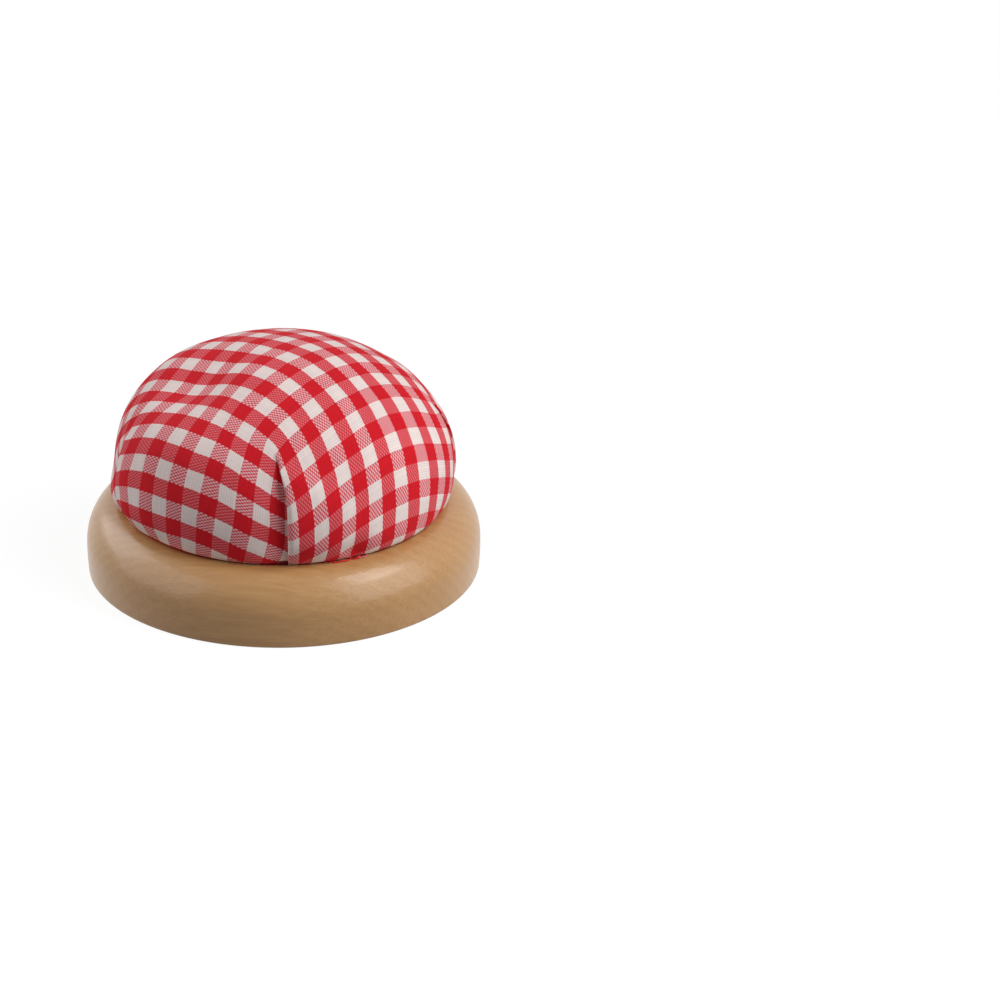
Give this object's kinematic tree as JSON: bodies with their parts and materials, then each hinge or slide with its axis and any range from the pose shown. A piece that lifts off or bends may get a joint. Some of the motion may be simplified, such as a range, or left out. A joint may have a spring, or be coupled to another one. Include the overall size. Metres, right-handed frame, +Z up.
{
  "type": "pincushion",
  "caption": "Round pincushion: a stuffed gingham-covered dome seated in the recess of a low turned wooden base, holding pins and needles for sewing.",
  "frame": {"origin": "centre of the base's flat underside", "axes": "+Z up along the turned axis of the base, -Y towards the front, where the first of the cover's four tucks lies"},
  "size_m": [0.09, 0.09, 0.0532],
  "materials": {
    "wood": "satin",
    "gingham": "matte",
    "filling": "matte",
    "card": "matte",
    "thread": "matte",
    "glue": "satin"
  },
  "bodies": {
    "root": {"wood_base": "wood", "cushion_cover": "gingham", "stuffing": "filling", "backing_disc": "card", "gathering_thread": "thread", "glue_ring": "glue"}
  },
  "joints": []
}
